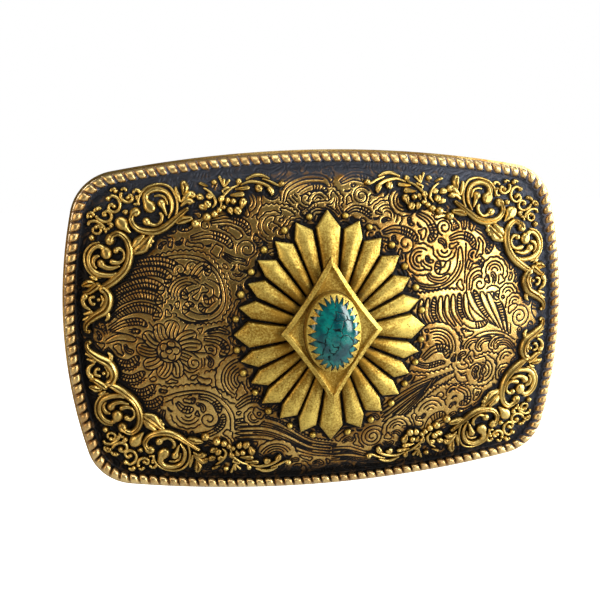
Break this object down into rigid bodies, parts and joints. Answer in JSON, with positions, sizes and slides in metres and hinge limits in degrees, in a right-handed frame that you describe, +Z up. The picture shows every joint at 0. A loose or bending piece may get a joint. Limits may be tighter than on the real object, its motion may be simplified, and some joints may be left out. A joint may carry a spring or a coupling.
{
  "type": "belt buckle",
  "caption": "Domed Western plate belt buckle with rope border, scroll and sunburst overlays, an oval turquoise stone, a swinging strap bail and a belt peg.",
  "frame": {"origin": "centre of the whole part's box with the bail laid level: half way across the plate, half way up it, and half way between the stone's crown and the peg's tip", "axes": "+X along the plate to the right as seen from the front, towards the belt peg; -Y out of the decorated front; +Z up as worn"},
  "size_m": [0.098, 0.0204, 0.0664],
  "materials": {
    "engraved_brass": "antiqued brass, engraved all over, with dark recesses",
    "rope_brass": "antiqued brass rope border, worn bright on its lobes",
    "scroll_brass": "antiqued brass castings, worn bright on their tops",
    "bright_brass": "soft polished brass",
    "back_brass": "dull sandcast brass",
    "wire_brass": "satin drawn wire",
    "turquoise": "polished deep teal stone with a dark matrix",
    "pitch": "dull dark filler"
  },
  "bodies": {
    "plate": {"base_plate": "engraved_brass", "rope_edge": "rope_brass", "corner_scroll_top_left": "scroll_brass", "corner_scroll_top_right": "scroll_brass", "corner_scroll_bottom_left": "scroll_brass", "corner_scroll_bottom_right": "scroll_brass", "side_scroll_top_left": "scroll_brass", "side_scroll_top_right": "scroll_brass", "side_scroll_bottom_left": "scroll_brass", "side_scroll_bottom_right": "scroll_brass", "floral_spray_top_left": "scroll_brass", "floral_spray_top_right": "scroll_brass", "floral_spray_bottom_left": "scroll_brass", "floral_spray_bottom_right": "scroll_brass", "sunburst": "bright_brass", "bead_ring": "bright_brass", "diamond_plate": "bright_brass", "bezel_cup": "bright_brass", "stone_bed": "pitch", "cabochon": "turquoise", "centre_rivet": "back_brass", "bail_lug_upper": "back_brass", "bail_lug_lower": "back_brass", "peg_pad": "back_brass", "belt_peg": "back_brass"},
    "bail": {"bail": "wire_brass"}
  },
  "joints": [
    {"name": "bail_hinge", "type": "hinge", "parent": "plate", "child": "bail", "pos_m": [-0.031, 0.00641, 0], "axis": [0, 0, -1], "range_deg": [-4, 195]}
  ]
}
